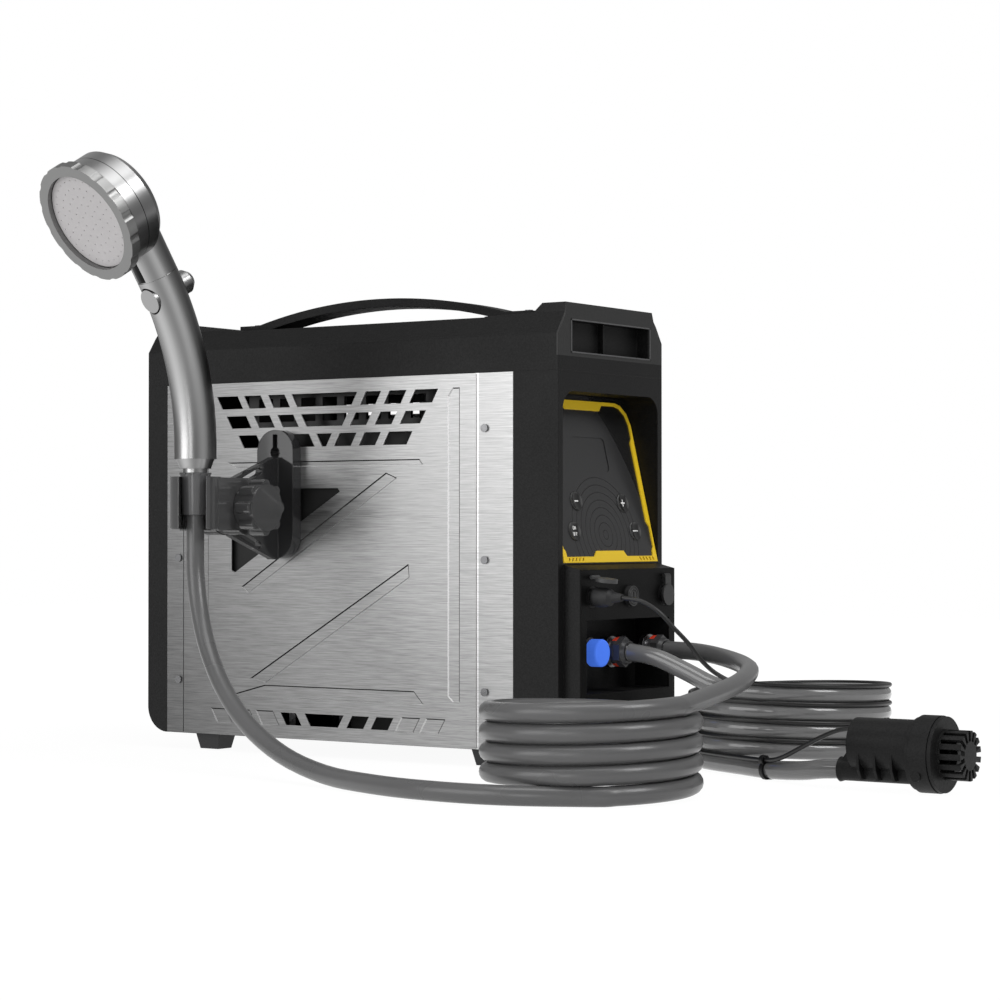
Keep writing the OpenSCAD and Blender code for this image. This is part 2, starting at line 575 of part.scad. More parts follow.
module holder_arm() color("#161719") difference() {
  union() {
    xprism(hx - arm_w / 2, hx + arm_w / 2) {
      translate([piv_y, piv_z]) circle(20.5);
      translate([clip_y + 4, arm_z[0] + 1]) square([piv_y - clip_y - 4, arm_z[1] - arm_z[0] - 2]);
    }
    zcyl(arm_z[0] + 2, arm_z[1] - 0.5, hx, clip_y, arm_w / 2);
  }
  box(hx - tongue_t / 2 - fork_gap, hx + tongue_t / 2 + fork_gap, piv_y - 21, piv_y + 36, 160, 220);
  zcyl(arm_z[0] - 0.5, arm_z[1] + 1, hx, clip_y, 10, 11.95);
  translate([hx, clip_y, 0]) rotate([0, 0, clip_turn]) box(-10, 10, -30, 0, 165, 216);
  xcyl(hx - 30, hx + 30, piv_y, piv_z, bolt_r + 0.05);
}
module holder_knob() color("#202124") difference() {
  union() {
    xcyl(-38, -20, piv_y, piv_z, clamp_knob_d / 2 - 3.5);
    for (a = [0:45:315]) xcyl(-34, -21, piv_y + (clamp_knob_d / 2 - 4.4) * cos(a), piv_z + (clamp_knob_d / 2 - 4.4) * sin(a), 4.4);
  }
  xcyl(-39, -26, piv_y, piv_z, bolt_r + run_gap);
}
module holder_bolt() color("#8f9194") {
  xcyl(hx - 20, -27, piv_y, piv_z, bolt_r);
  xcyl(hx - arm_w / 2 - 4, hx - arm_w / 2, piv_y, piv_z, 7.5, $fn = 6);
}

// ---- handset ----
module hand() translate([hx, clip_y, 0]) rotate([0, 0, lean_dir]) children();
module hub() hand() translate([head_s, 0, head_z]) rotate([0, 90 + head_a, 0]) children();
module cone_nut() color("#1d1e20") difference() {
  union() {
    zcyl(nut_z, 214, hx, clip_y, 9.8, 11.35);
    for (a = [0:30:330]) translate([hx, clip_y, 0]) rotate([0, 0, a]) box(10.4, 11.9, -0.8, 0.8, 212.8, 214);
  }
  zcyl(nut_z - 1, 215, hx, clip_y, 4);
  zcyl(nut_z - 1, nut_z + 6, hx, clip_y, hose_d / 2 + 1.8);
}
module grip_bend(r) translate([bend_r, 0, bend_z]) rotate([90, 0, 180])
  rotate_extrude(angle = bend_a, $fn = 96) translate([bend_r, 0]) circle(r);
vs = bend_r * (1 - cos(28));
vz = bend_z + bend_r * sin(28);
module valve_axis() hand() translate([vs, 0, vz]) rotate([0, 90 + 28, 0]) children();
module shower_grip() color("#232427") difference() {
  union() {
    zcyl(214, 218, hx, clip_y, 9);
    zcyl(217, 224, hx, clip_y, 11.4, 14);
    hand() zcyl(224, bend_z, 0, 0, grip_r);
    hand() grip_bend(grip_r);
  }
  zcyl(213, bend_z + 1, hx, clip_y, 4.5);
  valve_axis() cylinder(h = 60, r = valve_d / 2 + run_gap, center = true);
  valve_axis() translate([0, 0, grip_r - 2.5]) cylinder(h = 6, r1 = valve_d / 2, r2 = valve_d / 2 + 3);
}
module stop_valve() color("#2f3034") valve_axis() {
  translate([0, 0, -grip_r - 5]) cylinder(h = 2 * grip_r + 5.2, r = valve_d / 2);
  translate([0, 0, -grip_r - 9]) cylinder(h = 4.01, r1 = valve_d / 2 - 3, r2 = valve_d / 2);
}
module shower_head() color("#2a2b2f") difference() {
  union() {
    hand() translate([bend_r * (1 - cos(bend_a)), 0, bend_z + bend_r * sin(bend_a)])
      rotate([0, bend_a, 0]) {
        cylinder(h = 1, r = grip_r - 0.7);
        translate([0, 0, 0.9]) cylinder(h = 39.1, r = grip_r);
        translate([0, 0, 39.9]) cylinder(h = 14, r1 = grip_r, r2 = grip_r - 7);
      }
    hub() rotate_extrude() polygon([[0, -3], [drum_r - 4, -3], [drum_r, -6], [drum_r, -27], [37, -32.5], [28, -36.5],
      [0, -38.5]]);
  }
  hub() rotate([0, 0, -127]) rotate_extrude(angle = 56) polygon([[drum_r - 3, -36.5], [drum_r + 2, -36.5], [drum_r + 2, -26.9],
    [drum_r - 3, -26.9]]);
}
module face_ring() color("#26272b") hub() difference() {
  translate([0, 0, -ring_t + 5]) cylinder(h = ring_t, r = head_d / 2, $fn = 96);
  translate([0, 0, -3]) cylinder(h = 20, r = plate_r + 0.1);
  translate([0, 0, -10]) cylinder(h = 20, r = drum_r - 4 - 0.1);
  translate([0, 0, -10]) cylinder(h = 7, r = drum_r + 0.1);
  for (a = [0:22.5:337.5]) rotate([0, 0, a]) translate([head_d / 2 + 8.2, 0, -20]) cylinder(h = 40, r = 9);
}
module spray_plate() color("#34363b") hub() difference() {
  translate([0, 0, -3]) cylinder(h = 4, r = plate_r);
  for (k = [1:5]) for (i = [0:k * 6 - 1]) rotate([0, 0, 360 * i / (k * 6)])
    translate([k * 6.4, 0, 0]) cylinder(h = 2, r = 0.45, $fn = 6);
}
module mode_lever() color("#3a3c40") hub() rotate([0, 0, -112])
  rotate_extrude(angle = 40) polygon([[drum_r - 2.7, -36], [drum_r + 1.5, -36], [drum_r + 2.5, -34], [drum_r + 2.5, -29.5],
    [drum_r + 1.5, -27.3], [drum_r - 2.7, -27.3]]);

// ---- hoses and cable ----
module shower_hose_rise() color("#85888c") tube(smooth(concat([c1_hi], rise_pts, [[221, 36, 83]]), 2),
  d1_hi, [-1, 0, 0], hose_d, 8);
module shower_hose_coil() color("#85888c") coil_tube(coil1_c, coil1_r, coil1_a, coil1_z, 100, hose_d, 6);
module shower_hose_drop() color("#85888c") tube(smooth(concat(drop_pts, [c1_lo]), 2), [0, 0, -1], d1_lo, hose_d, 8);
module pump_hose_run() color("#85888c") tube(smooth(concat(run_pts, [c2_hi]), 2), [1, 0, 0], d2_hi, hose_d, 8);
module pump_hose_coil() color("#85888c") coil_tube(coil2_c, coil2_r, coil2_a, coil2_z, 96, hose_d, 6);
module pump_hose_tail() color("#85888c") tube(smooth(concat([c2_lo], tail_pts), 2), d2_lo, [1, 0, 0], hose_d, 8);
cab_coil = coil(coil2_c, cab_r, coil2_a, coil2_z + [cab_up, cab_up], 96);
module pump_cable() color("#161616") tube(concat(cab_pts, cab_coil, cab_end), [1, 0, 0], [1, 0, 0], cable_d, 6);
module pump_plug() color("#141416") {
  xcyl(206, 213, sock_y[0], sock_z, 4.4);
  translate([x_console + 2, sock_y[0], sock_z]) rotate([0, 90, 0]) rotate_extrude() polygon([[0, 0], [6.6, 0],
    [7.1, 1.2], [7.1, 8], [6.2, 13], [4.2, 15.5], [2.6, 23], [0, 23]]);
}
clip_t = atan2(-19, 34);
module cable_clip() color("#101012") translate([348, -40, 6.7]) rotate([0, 0, clip_t]) difference() {
  union() {
    xcyl(-2, 2, 0, 0, 7.9);
    xcyl(-2, 2, -4.6, 6.9, 3.4);
  }
  xcyl(-3, 3, 0, 0, 6.5);
  xcyl(-3, 3, -4.6, 6.9, 2.1);
  box(-3, 3, -9, 9, -9, -6.65);
}

// ---- pump ----
module pump_body() color("#1a1b1d") difference() {
  union() {
    xcyl(pump_x[0], pump_x[1] + 3, pump_y, spig_z, 7.5);
    xcyl(pump_x[0], pump_x[0] + 3, pump_y, spig_z, 8.4, 7.5);
    xcyl(pump_x[1], pump_x[2], pump_y, bar_z, barrel_d / 2);
    xcyl(pump_x[1], pump_x[2], pump_y, spig_z, 7.5);
    for (y = [-4, 0, 4]) yprism(pump_y + y - 0.6, pump_y + y + 0.6)
      polygon([[416, 17], [428, 17], [428, 34]]);
    for (x = [434, 446, 458]) xprism(x, x + 1.8) polygon([[pump_y - 2, 7], [pump_y - 11, 7], [pump_y - 15.5, 14],
      [pump_y - 17, 26], [pump_y - 2, 26]]);
    xcyl(pump_x[2] - 1, pump_x[2] + 2, pump_y, ring_z, 24);
  }
  xcyl(pump_x[0] + 6, pump_x[2] - 6, pump_y, spig_z, 4);
  xcyl(pump_x[1] + 6, pump_x[2] + 3, pump_y, bar_z, barrel_d / 2 - 4);
  xcyl(pump_x[1] + 2, pump_x[1] + 7, pump_y, bar_z, 2 + run_gap);
}
module pump_impeller() color("#7d8085") {
  xcyl(pump_x[1] + 2.4, pump_x[3] - 5, pump_y, bar_z, 2);
  translate([0, pump_y, bar_z]) for (a = [0:60:300]) rotate([a, 0, 0]) box(470, 482, 1.5, 11, -0.8, 0.8);
  xcyl(468, 470.5, pump_y, bar_z, 11);
}
module pump_clamp() color("#1e1f22") {
  difference() {
    union() {
      xcyl(pump_x[2] + 2, pump_x[3], pump_y, ring_z, 25.5);
      ycyl(pump_y - 23.6, pump_y - 14, 480, ring_z - 13, 3.2);
    }
    xcyl(pump_x[2], pump_x[3] - 2, pump_y, ring_z, 22);
    xcyl(pump_x[2], pump_x[3] + 1, pump_y, ring_z, 12);
  }
}
module pump_strainer() color("#1b1c1e") difference() {
  union() {
    xcyl(pump_x[3] + 0.3, pump_x[3] + 3, pump_y, ring_z, 25);
    xcyl(pump_x[3] + 2, pump_x[4], pump_y, ring_z, cage_d / 2);
  }
  xcyl(pump_x[3], pump_x[4] - 2.5, pump_y, ring_z, cage_d / 2 - 2.2);
  translate([0, pump_y, ring_z]) for (i = [0:cage_slots - 1]) rotate([i * 360 / cage_slots, 0, 0])
    box(pump_x[3] + 4.5, pump_x[4] + 1, 9.5, 30, -1.5, 1.5);
}

top_cover();
front_shell();
rear_shell();
panel_near();
panel_far();
chassis();
feet();
carry_handle();
screws();
control_panel();
control_bezel();
button_minus();
button_plus();
button_power();
button_mode();
control_board();
socket_row();
pump_flap();
fuse_cap();
dc_flap();
drain_knob();
cold_fitting();
hot_fitting();
cold_sleeve();
hot_sleeve();
gas_inlet();
gas_valve();
flow_sensor();
burner();
heat_exchanger();
exhaust_hood();
blower_housing();
blower_wheel();
igniter();
water_pipes();
gas_pipe();
holder_bracket();
holder_arm();
holder_knob();
holder_bolt();
cone_nut();
shower_grip();
shower_head();
face_ring();
spray_plate();
mode_lever();
stop_valve();
shower_hose_rise();
shower_hose_coil();
shower_hose_drop();
pump_hose_run();
pump_hose_coil();
pump_hose_tail();
pump_plug();
pump_cable();
cable_clip();
pump_body();
pump_impeller();
pump_clamp();
pump_strainer();
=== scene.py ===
"""Looks of the portable water heater: materials, hoses, cable, printed signs, floor, light and camera."""
import json
import math
import bmesh
import bpy
from mathutils import Matrix, Vector

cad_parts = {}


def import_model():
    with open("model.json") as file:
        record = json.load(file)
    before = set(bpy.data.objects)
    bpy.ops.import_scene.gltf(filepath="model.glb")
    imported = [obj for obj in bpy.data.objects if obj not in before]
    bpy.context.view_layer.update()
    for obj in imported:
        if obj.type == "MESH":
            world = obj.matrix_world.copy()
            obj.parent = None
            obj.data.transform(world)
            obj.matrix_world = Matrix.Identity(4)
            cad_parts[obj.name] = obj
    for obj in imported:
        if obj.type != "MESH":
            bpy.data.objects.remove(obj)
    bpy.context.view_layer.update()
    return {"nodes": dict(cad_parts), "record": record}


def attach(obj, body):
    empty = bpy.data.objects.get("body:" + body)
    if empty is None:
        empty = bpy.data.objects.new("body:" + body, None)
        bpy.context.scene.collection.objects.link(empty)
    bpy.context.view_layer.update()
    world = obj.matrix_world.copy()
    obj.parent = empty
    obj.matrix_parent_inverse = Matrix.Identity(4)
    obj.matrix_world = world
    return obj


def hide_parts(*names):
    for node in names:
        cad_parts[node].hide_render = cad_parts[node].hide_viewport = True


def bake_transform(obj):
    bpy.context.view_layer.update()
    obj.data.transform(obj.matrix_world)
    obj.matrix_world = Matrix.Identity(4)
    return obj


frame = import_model()
NODES = frame["nodes"]
MM = 0.001


def mm(x, y, z):
    """A point given in millimetres."""
    return Vector((x * MM, y * MM, z * MM))


# The control panel leans back from its lower edge.
PANEL_LEAN = math.radians(13.06)
PANEL_FOOT = (195, 0, 147)

# The handset: heading, centre and spray axis of its head.
HAND = math.radians(-101)
REACH = 94.3
HUB = mm(-57 + REACH * math.cos(HAND), -174 + REACH * math.sin(HAND), 391.9)
TIP = math.radians(32)
HUB_AXIS = Vector((math.cos(TIP) * math.cos(HAND), math.cos(TIP) * math.sin(HAND), -math.sin(TIP)))


# ---------------------------------------------------------------- shader helpers
def material(name, color, rough=0.5, metal=0.0, spec=0.5, coat=0.0):
    """A principled material; returns it with its tree, its shader and its object coordinates."""
    m = bpy.data.materials.new(name)
    m.use_nodes = True
    t = m.node_tree
    b = t.nodes["Principled BSDF"]
    b.inputs["Base Color"].default_value = (*color, 1)
    b.inputs["Roughness"].default_value = rough
    b.inputs["Metallic"].default_value = metal
    b.inputs["Specular IOR Level"].default_value = spec
    b.inputs["Coat Weight"].default_value = coat
    co = t.nodes.new("ShaderNodeTexCoord")
    return m, t, b, co.outputs["Object"]


def calc(t, op, a, b=0.0):
    """One math node; numbers or sockets go in."""
    n = t.nodes.new("ShaderNodeMath")
    n.operation = op
    for i, v in enumerate((a, b)):
        if isinstance(v, (int, float)):
            n.inputs[i].default_value = v
        else:
            t.links.new(v, n.inputs[i])
    return n.outputs[0]


def clamped(t, value, lo, hi):
    return calc(t, "MINIMUM", calc(t, "MAXIMUM", value, lo), hi)


def split(t, co):
    """The x, y and z of a coordinate socket."""
    n = t.nodes.new("ShaderNodeSeparateXYZ")
    t.links.new(co, n.inputs[0])
    return n.outputs["X"], n.outputs["Y"], n.outputs["Z"]


def along(t, vec, way):
    """A vector socket's measure along a direction."""
    n = t.nodes.new("ShaderNodeVectorMath")
    n.operation = "DOT_PRODUCT"
    n.inputs[1].default_value = way
    t.links.new(vec, n.inputs[0])
    return n.outputs["Value"]


def facing(t, way):
    """How far the surface faces a direction."""
    return along(t, t.nodes.new("ShaderNodeNewGeometry").outputs["Normal"], way)


def mixed(t, fac, a, b):
    """Two colours mixed by a mask; each is a colour or a socket."""
    n = t.nodes.new("ShaderNodeMix")
    n.data_type = "RGBA"
    t.links.new(fac, n.inputs["Factor"])
    for k, v in (("A", a), ("B", b)):
        if isinstance(v, tuple):
            n.inputs[k].default_value = (*v, 1)
        else:
            t.links.new(v, n.inputs[k])
    return n.outputs["Result"]


def ramp(t, fac, stops):
    """A smooth curve through (place, level) stops."""
    n = t.nodes.new("ShaderNodeValToRGB")
    n.color_ramp.interpolation = "B_SPLINE"
    while len(n.color_ramp.elements) < len(stops):
        n.color_ramp.elements.new(0.5)
    for e, (at, v) in zip(n.color_ramp.elements, stops):
        e.position = at
        e.color = (v, v, v, 1)
    t.links.new(fac, n.inputs["Fac"])
    return n.outputs["Color"]


def stretched(t, co, scale):
    n = t.nodes.new("ShaderNodeMapping")
    n.inputs["Scale"].default_value = scale
    t.links.new(co, n.inputs["Vector"])
    return n.outputs["Vector"]


def noise(t, vec, scale, detail=3.0, rough=0.5):
    n = t.nodes.new("ShaderNodeTexNoise")
    n.inputs["Scale"].default_value = scale
    n.inputs["Detail"].default_value = detail
    n.inputs["Roughness"].default_value = rough
    t.links.new(vec, n.inputs["Vector"])
    return n.outputs["Fac"]


def spread(t, fac, lo, hi):
    """Noise, which stays near its middle, spread over a range."""
    n = t.nodes.new("ShaderNodeMapRange")
    n.inputs["From Min"].default_value = 0.3
    n.inputs["From Max"].default_value = 0.7
    n.inputs["To Min"].default_value = lo
    n.inputs["To Max"].default_value = hi
    t.links.new(fac, n.inputs["Value"])
    return n.outputs["Result"]


def tint(t, b, fac, color, amount):
    """Varies the base colour by a share either way."""
    dark = tuple(c * (1 - amount) for c in color)
    pale = tuple(min(1, c * (1 + amount)) for c in color)
    t.links.new(mixed(t, fac, dark, pale), b.inputs["Base Color"])


def relief(t, b, fac, strength, distance, edge=0.0004):
    """Bump on top of softened edges."""
    n = t.nodes.new("ShaderNodeBump")
    n.inputs["Strength"].default_value = strength
    n.inputs["Distance"].default_value = distance
    t.links.new(fac, n.inputs["Height"])
    if edge:
        v = t.nodes.new("ShaderNodeBevel")
        v.samples = 4
        v.inputs["Radius"].default_value = edge
        t.links.new(v.outputs["Normal"], n.inputs["Normal"])
    t.links.new(n.outputs["Normal"], b.inputs["Normal"])


# ---------------------------------------------------------------- materials
def plastic(name, color, rough, grain=900.0, bump=0.25, edge=0.0006, coat=0.0, spec=0.5, speckle=0.0, painted_glow=0.0):
    """Moulded plastic or rubber; speckle varies its colour with the fine grain, and the glow argument is painted
    light: the part glows a little though it is no lamp.
    """
    m, t, b, co = material(name, color, rough, 0.0, spec, coat)
    fine = noise(t, co, grain, 2.0)
    wide = noise(t, co, 14.0, 3.0)
    tint(t, b, fine if speckle else wide, color, speckle or 0.12)
    # Painted light: an emission in the part's own colour, though the part is no lamp.
    if painted_glow:
        b.inputs["Emission Color"].default_value = (*color, 1)
        b.inputs["Emission Strength"].default_value = painted_glow
    t.links.new(spread(t, wide, rough - 0.05, rough + 0.05), b.inputs["Roughness"])
    relief(t, b, fine, bump, 0.0002, edge)
    return m


def metal(name, color, rough, scale=700.0, bump=0.1, vary=0.08, edge=0.0004):
    """Plain metal with a fine grain."""
    m, t, b, co = material(name, color, rough, 1.0)
    grain = noise(t, co, scale, 4.0, 0.6)
    tint(t, b, grain, color, vary)
    t.links.new(spread(t, grain, rough - vary * 0.6, rough + vary * 0.8), b.inputs["Roughness"])
    if bump or edge:
        relief(t, b, grain, bump, 0.0001, edge)
    return m


def printed_film():
    """The control panel's film: a paler field with rings left of a curved edge, fine lines beyond it."""
    edge_y, edge_travel, edge_height, edge_power = 65.0, 46.0, 120.0, 2.2
    ring_w, ring_pitch, ring_shift, ring_ink, ring_limit = 22.0, 5.7, 2.6, 0.13, 46.0
    stripe_pitch, stripe_slant, stripe_ink = 4.2, 0.9, 0.14
    m, t, b, co = material("panel_film", (0.02, 0.02, 0.02), 0.24, spec=0.32)
    _, y, z = split(t, co)
    y = calc(t, "MULTIPLY", y, 1000.0)
    w = calc(t, "MULTIPLY", calc(t, "SUBTRACT", z, PANEL_FOOT[2] * MM), 1000.0 / math.cos(PANEL_LEAN))
    up = calc(t, "MULTIPLY", calc(t, "MAXIMUM", w, 0.0), 1 / edge_height)
    shift = calc(t, "MULTIPLY", calc(t, "POWER", up, edge_power), edge_travel)
    field = calc(t, "LESS_THAN", calc(t, "ADD", y, shift), edge_y)

    rise = calc(t, "POWER", calc(t, "SUBTRACT", w, ring_w), 2.0)
    far = calc(t, "SQRT", calc(t, "ADD", calc(t, "POWER", y, 2.0), rise))
    turn = calc(t, "FRACT", calc(t, "MULTIPLY", calc(t, "ADD", far, ring_shift), 1 / ring_pitch))
    ring = calc(t, "MULTIPLY", calc(t, "LESS_THAN", turn, ring_ink), calc(t, "LESS_THAN", far, ring_limit))

    run = calc(t, "ADD", calc(t, "MULTIPLY", y, stripe_slant), w)
    stripe = calc(t, "LESS_THAN", calc(t, "FRACT", calc(t, "MULTIPLY", run, 1 / stripe_pitch)), stripe_ink)
    inside = mixed(t, ring, (0.042, 0.042, 0.043), (0.012, 0.012, 0.012))
    outside = mixed(t, stripe, (0.021, 0.021, 0.021), (0.006, 0.006, 0.006))
    t.links.new(mixed(t, field, outside, inside), b.inputs["Base Color"])
    return m


def pressed_steel():
    """The side panel: brushed along its length, with a painted reflection that makes it paler to the right and to
    the top.

    Painted shade on the slopes of its beads: those that face up or right are paler, the others darker; the fold
    carries a painted highlight, a bright line."""
    brush, brush_scale = (0.022, 1, 1), 2300.0
    start, per_x, per_z, mid_z = 0.70, 1.6, 0.8, 0.17
    painted_light_way, darkest, brightest = (3.3, 0.0, 4.0), 0.06, 2.1
    fold_x, fold_half, fold_highlight_gain = 0.1249, 0.0009, 0.7
    m, t, b, co = material("steel_panel", (0.5, 0.5, 0.5), 0.34, 1.0)
    b.inputs["Anisotropic"].default_value = 0.45
    grain = noise(t, stretched(t, co, brush), brush_scale, 4.0, 0.6)
    x, _, z = split(t, co)
    # Painted reflection: the colour grows paler to the right and towards the top.
    painted_reflection_fall = calc(t, "ADD", start, calc(t, "MULTIPLY", x, per_x))
    painted_reflection_fall = calc(t, "ADD", painted_reflection_fall, calc(t, "MULTIPLY", calc(t, "SUBTRACT", z, mid_z), per_z))
    # Painted shade on the beads' slopes: paler where they face up or right, darker elsewhere.
    painted_bead_shade = clamped(t, calc(t, "ADD", facing(t, painted_light_way), 1.0), darkest, brightest)
    # Painted highlight: a bright line along the fold.
    fold = calc(t, "LESS_THAN", calc(t, "ABSOLUTE", calc(t, "SUBTRACT", x, fold_x)), fold_half)
    painted_bead_shade = calc(t, "ADD", painted_bead_shade, calc(t, "MULTIPLY", fold, fold_highlight_gain))
    level = calc(t, "MULTIPLY", calc(t, "MULTIPLY", painted_reflection_fall, painted_bead_shade), spread(t, grain, 0.34, 0.64))
    grey = t.nodes.new("ShaderNodeCombineColor")
    for k in ("Red", "Green", "Blue"):
        t.links.new(level, grey.inputs[k])
    t.links.new(grey.outputs["Color"], b.inputs["Base Color"])
    t.links.new(spread(t, grain, 0.32, 0.48), b.inputs["Roughness"])
    relief(t, b, grain, 0.12, 0.0001, 0.0)
    return m


def nickel_with_painted_stripes(name):
    """Nickel plate whose colour carries a painted reflection: a studio's soft light and dark stripes, set by how
    far the surface faces the view's right; returns its parts, then the socket of those painted stripes.
    """
    view_right = (0.8257, 0.564, 0.0)
    stops = [(0.0, 0.12), (0.08, 0.12), (0.26, 0.62), (0.42, 0.33),
             (0.58, 0.14), (0.74, 0.54), (0.9, 0.12), (1.0, 0.09)]
    m, t, b, co = material(name, (0.5, 0.5, 0.5), 0.3, 1.0)
    turn = calc(t, "ADD", 0.5, calc(t, "MULTIPLY", facing(t, view_right), 0.5))
    # Painted reflection: stripes of soft lamps laid into the base colour by how the surface turns.
    painted_stripes = ramp(t, turn, stops)
    t.links.new(painted_stripes, b.inputs["Base Color"])
    return m, t, b, co, painted_stripes


def head_plate():
    """The head's nickel, with the fine dark joint between its two shells."""
    joint_back, joint_half = 0.0165, 0.0003
    m, t, b, co, painted_stripes = nickel_with_painted_stripes("head_nickel")
    off = calc(t, "SUBTRACT", along(t, co, HUB_AXIS), HUB_AXIS.dot(HUB) - joint_back)
    joint = calc(t, "LESS_THAN", calc(t, "ABSOLUTE", off), joint_half)
    # The dark joint is laid over the painted reflection stripes.
    t.links.new(mixed(t, joint, painted_stripes, (0.015, 0.015, 0.015)), b.inputs["Base Color"])
    return m


BLACK = (0.0088, 0.0088, 0.0089)
BLACK_SPEC = 0.2


def grained(name):
    return plastic(name, BLACK, 0.5, 800.0, 0.8, spec=BLACK_SPEC, speckle=0.9)


def black_grain(name, axis_limits, level, gloss):
    """Grained black plastic; past all (axis, metres) limits a plain grey and another gloss take over, and that
    grey is a painted level: paler for painted light, darker for painted shade on that face.
    """
    m = grained(name)
    t = m.node_tree
    b = t.nodes["Principled BSDF"]
    old = b.inputs["Base Color"].links[0].from_socket
    place = dict(zip("XYZ", split(t, t.nodes["Texture Coordinate"].outputs["Object"])))
    beyond = 1.0
    for axis, limit in axis_limits:
        beyond = calc(t, "MULTIPLY", beyond, calc(t, "GREATER_THAN", place[axis], limit))
    # Past the limits the colour is a painted grey, set per use as painted light or painted shade.
    t.links.new(mixed(t, beyond, old, (level, level, level)), b.inputs["Base Color"])
    spec = calc(t, "ADD", BLACK_SPEC, calc(t, "MULTIPLY", beyond, gloss - BLACK_SPEC))
    t.links.new(spec, b.inputs["Specular IOR Level"])
    return m


def dish_face():
    """Glossy button face with a painted highlight: the side of the hollow that looks left is painted paler."""
    m, t, b, _ = material("dish", (0.014, 0.014, 0.015), 0.2)
    # Painted highlight: paler where the hollow faces left.
    painted_highlight = calc(t, "MULTIPLY", calc(t, "SUBTRACT", facing(t, (0.0, -1.0, 0.0)), 0.17), 4.0)
    painted_highlight = clamped(t, painted_highlight, 0.0, 1.0)
    t.links.new(mixed(t, painted_highlight, (0.010, 0.010, 0.010), (0.22, 0.22, 0.22)), b.inputs["Base Color"])
    return m


def collar():
    """Sleeves: red latches at top and bottom near the wall, dark elsewhere.

    The hot sleeve, at y above the middle of the two, stands farther out than the cold one."""
    middle_y, hot_step, red_x, axis_z, latch_z = 0.013, 0.004, 0.2082, 0.083, 0.0082
    m, t, b, co = material("sleeve_red", (0.2, 0.2, 0.2), 0.34)
    x, y, z = split(t, co)
    hot = calc(t, "GREATER_THAN", y, middle_y)
    near = calc(t, "LESS_THAN", x, calc(t, "ADD", calc(t, "MULTIPLY", hot, hot_step), red_x))
    high = calc(t, "ABSOLUTE", calc(t, "SUBTRACT", z, axis_z))
    red = calc(t, "MULTIPLY", near, calc(t, "GREATER_THAN", high, latch_z))
    t.links.new(mixed(t, red, (0.05, 0.05, 0.052), (0.70, 0.05, 0.02)), b.inputs["Base Color"])
    return m


